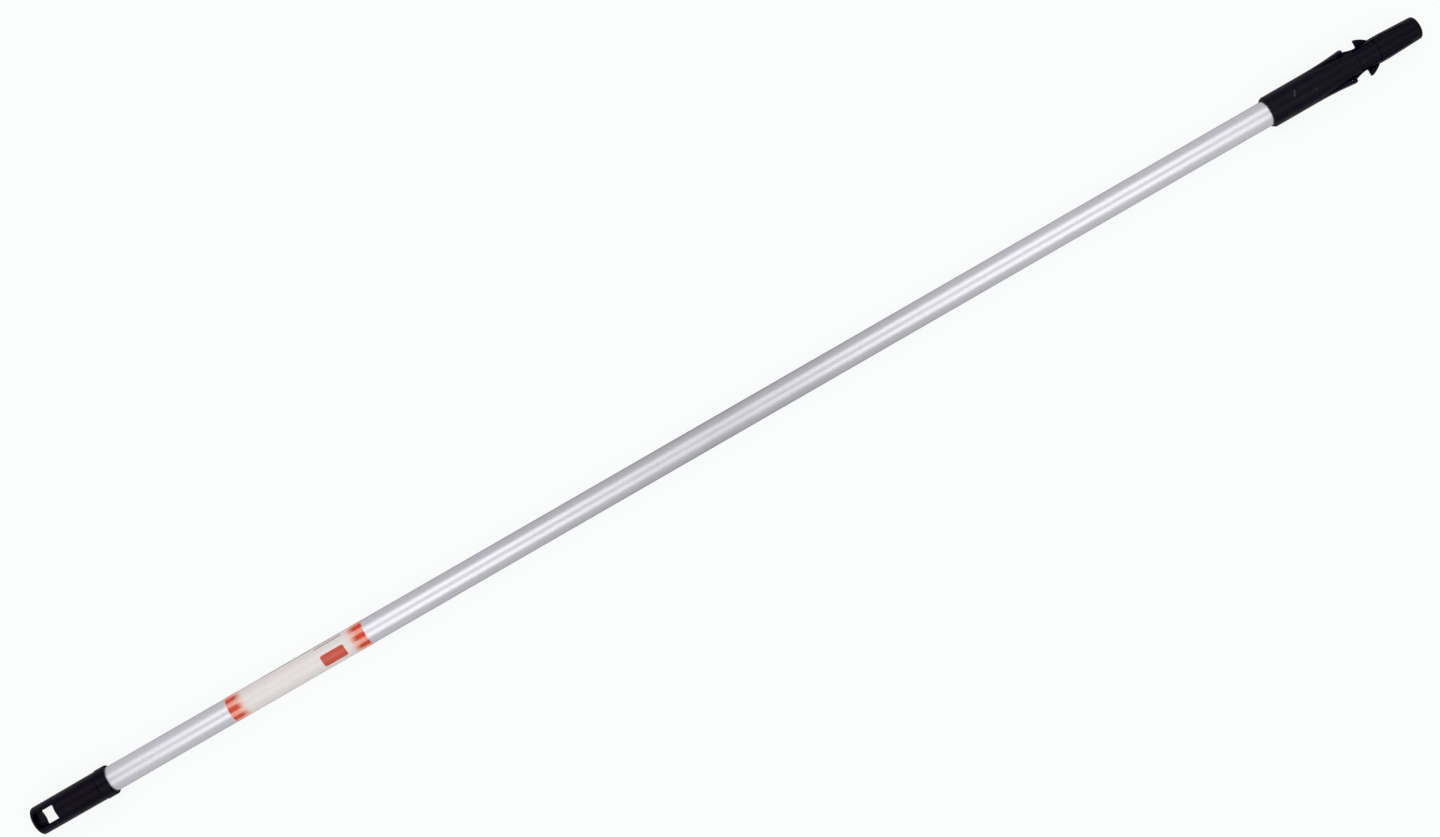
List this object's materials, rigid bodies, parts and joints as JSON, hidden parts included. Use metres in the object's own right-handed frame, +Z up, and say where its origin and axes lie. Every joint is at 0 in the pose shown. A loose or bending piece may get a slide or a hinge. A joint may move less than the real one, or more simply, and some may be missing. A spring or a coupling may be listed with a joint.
{
  "type": "roller extension pole",
  "caption": "Straight aluminium pole with a black hanging cap and a quick-release plug: squeezing two flared finger tabs draws in two barbs that lock a paint roller on.",
  "frame": {"origin": "under the middle of the pole's length, on the surface that the pole lies on", "axes": "+X along the pole towards the roller plug, +Y sideways through the left finger tab and barb, +Z up; the hanging hole runs along Z"},
  "size_m": [1.5, 0.038, 0.031],
  "materials": {
    "tube": "satin anodised",
    "label_film": "printed film, semi-gloss",
    "black_plastic": "satin moulded"
  },
  "bodies": {
    "pole": {"pole_tube": "tube", "label_wrap": "label_film", "hanging_cap": "black_plastic", "adapter_sleeve": "black_plastic", "plug_core": "black_plastic"},
    "tab_left": {"finger_tab_left": "black_plastic"},
    "tab_right": {"finger_tab_right": "black_plastic"},
    "arm_left": {"latch_arm_left": "black_plastic"},
    "arm_right": {"latch_arm_right": "black_plastic"}
  },
  "joints": [
    {"name": "tab_press_left", "type": "hinge", "parent": "pole", "child": "tab_left", "pos_m": [0.6362, 0.0123, 0.0155], "axis": [0, 0, -1], "range_deg": [0, 11], "stiffness_Nm_per_rad": 0.6},
    {"name": "arm_flex_left", "type": "hinge", "parent": "pole", "child": "arm_left", "pos_m": [0.7358, 0.0083, 0.0155], "axis": [0, 0, 1], "range_deg": [0, 7.2], "stiffness_Nm_per_rad": 1.2},
    {"name": "tab_press_right", "type": "hinge", "parent": "pole", "child": "tab_right", "pos_m": [0.6362, -0.0123, 0.0155], "axis": [0, 0, 1], "range_deg": [0, 11], "stiffness_Nm_per_rad": 0.6},
    {"name": "arm_flex_right", "type": "hinge", "parent": "pole", "child": "arm_right", "pos_m": [0.7358, -0.0083, 0.0155], "axis": [0, 0, -1], "range_deg": [0, 7.2], "stiffness_Nm_per_rad": 1.2}
  ],
  "couplings": [
    {"joint": "arm_flex_left", "follows": "tab_press_left", "ratio": 0.65},
    {"joint": "arm_flex_right", "follows": "tab_press_right", "ratio": 0.65}
  ]
}
